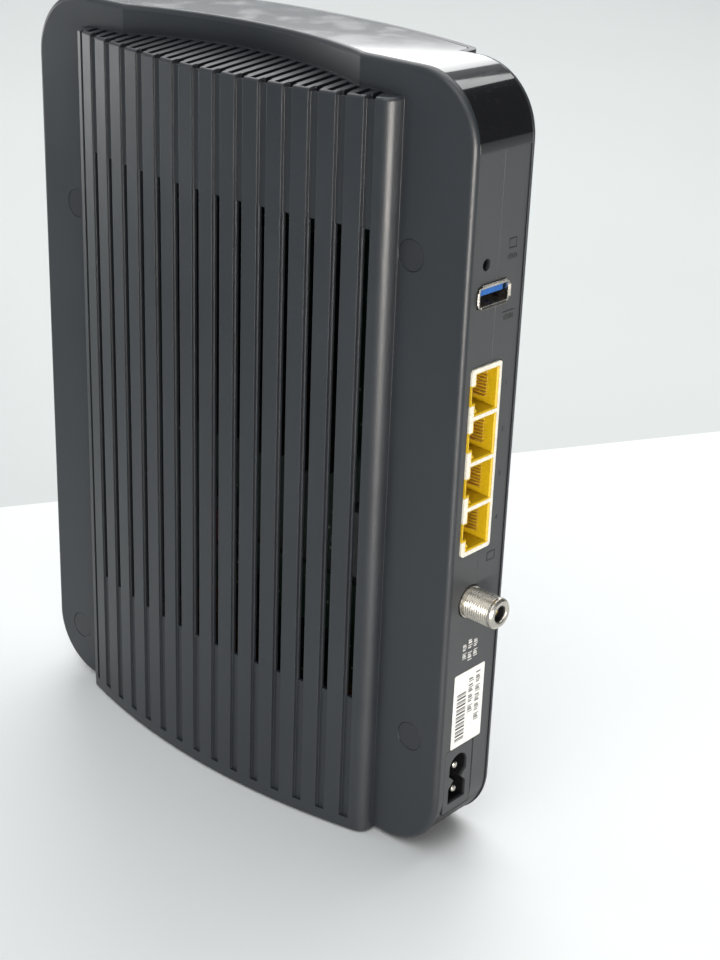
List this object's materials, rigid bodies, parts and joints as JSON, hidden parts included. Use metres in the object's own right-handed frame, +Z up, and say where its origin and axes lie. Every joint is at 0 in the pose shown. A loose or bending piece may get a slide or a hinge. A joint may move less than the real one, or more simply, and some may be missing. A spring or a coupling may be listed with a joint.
{
  "type": "optical network terminal",
  "caption": "Upright home network gateway with ribbed, vented side covers, a gloss trim band and a narrow rear panel of network, USB, coaxial and mains sockets.",
  "frame": {"origin": "on the surface the gateway stands on, under the middle of its overall outline", "axes": "+Z up, +Y out of the port panel, +X towards the cover with the open ribs at its top"},
  "size_m": [0.0542, 0.1892, 0.2412],
  "materials": {
    "aluminium": "extruded",
    "brass": "bright",
    "cable_grey": "insulation",
    "capacitor_sleeve": "shrink sleeve",
    "charcoal_plastic": "fine satin grain",
    "chip_black": "moulded epoxy",
    "circuit_board": "solder mask",
    "clear_acrylic": "translucent",
    "copper": "lacquered wire",
    "cream_plastic": "satin",
    "glass_tube": "clear",
    "gloss_black_plastic": "polished",
    "gold_contact": "gold flash",
    "key_black": "satin",
    "label_film": "satin film",
    "lamp": "lamp lens",
    "nickel": "nickel plated",
    "panel_plastic": "fine satin grain",
    "plug_plastic": "satin",
    "rubber_grey": "matt",
    "thermal_grey": "soft pad",
    "tin_plate": "tin plated",
    "usb_blue": "satin",
    "white_plastic": "satin",
    "wire_red": "insulation",
    "yellow_plastic": "satin",
    "zinc_steel": "zinc plated"
  },
  "bodies": {
    "gateway": {"antenna_leads": "cable_grey", "board_screws": "zinc_steel", "board_standoffs": "charcoal_plastic", "bulk_capacitor": "capacitor_sleeve", "case_screws": "zinc_steel", "coax_body": "nickel", "coax_contact": "brass", "coax_insulator": "chip_black", "front_board": "circuit_board", "gloss_band": "gloss_black_plastic", "heat_sink_pins": "chip_black", "label_sticker": "label_film", "lan_contacts": "gold_contact", "lan_housing": "cream_plastic", "lan_insert_1": "yellow_plastic", "lan_insert_2": "yellow_plastic", "lan_insert_3": "yellow_plastic", "lan_insert_4": "yellow_plastic", "left_frame": "panel_plastic", "left_side_cover": "charcoal_plastic", "light_guide": "clear_acrylic", "main_board": "circuit_board", "mains_choke": "copper", "mains_fuse": "glass_tube", "mains_inlet": "panel_plastic", "mains_pins": "nickel", "memory_chips": "chip_black", "network_transformers": "chip_black", "output_capacitors": "capacitor_sleeve", "pairing_switch": "chip_black", "power_connectors": "chip_black", "power_wires": "wire_red", "processor": "chip_black", "processor_heat_sink": "aluminium", "radio_shields": "tin_plate", "reset_bracket": "tin_plate", "reset_switch": "chip_black", "right_frame": "panel_plastic", "right_side_cover": "charcoal_plastic", "rubber_feet": "rubber_grey", "screw_plugs": "plug_plastic", "status_lamps": "lamp", "supply_board": "circuit_board", "supply_heat_sink": "aluminium", "supply_transformer": "copper", "thermal_pad": "thermal_grey", "tuner_shield": "tin_plate", "usb_contacts": "gold_contact", "usb_shell": "nickel", "usb_tongue": "usb_blue", "wifi_antennas": "circuit_board"},
    "reset_key": {"reset_plunger": "key_black"},
    "pairing_key": {"pairing_button": "key_black", "pairing_plunger": "white_plastic"}
  },
  "joints": [
    {"name": "reset_press", "type": "slide", "parent": "gateway", "child": "reset_key", "axis": [0, -1, 0], "range_m": [0, 0.0003], "stiffness_N_per_m": 3000, "springref_m": -0.0002},
    {"name": "pairing_press", "type": "slide", "parent": "gateway", "child": "pairing_key", "axis": [0, 1, 0], "range_m": [0, 0.0003], "stiffness_N_per_m": 3000, "springref_m": -0.0002}
  ]
}
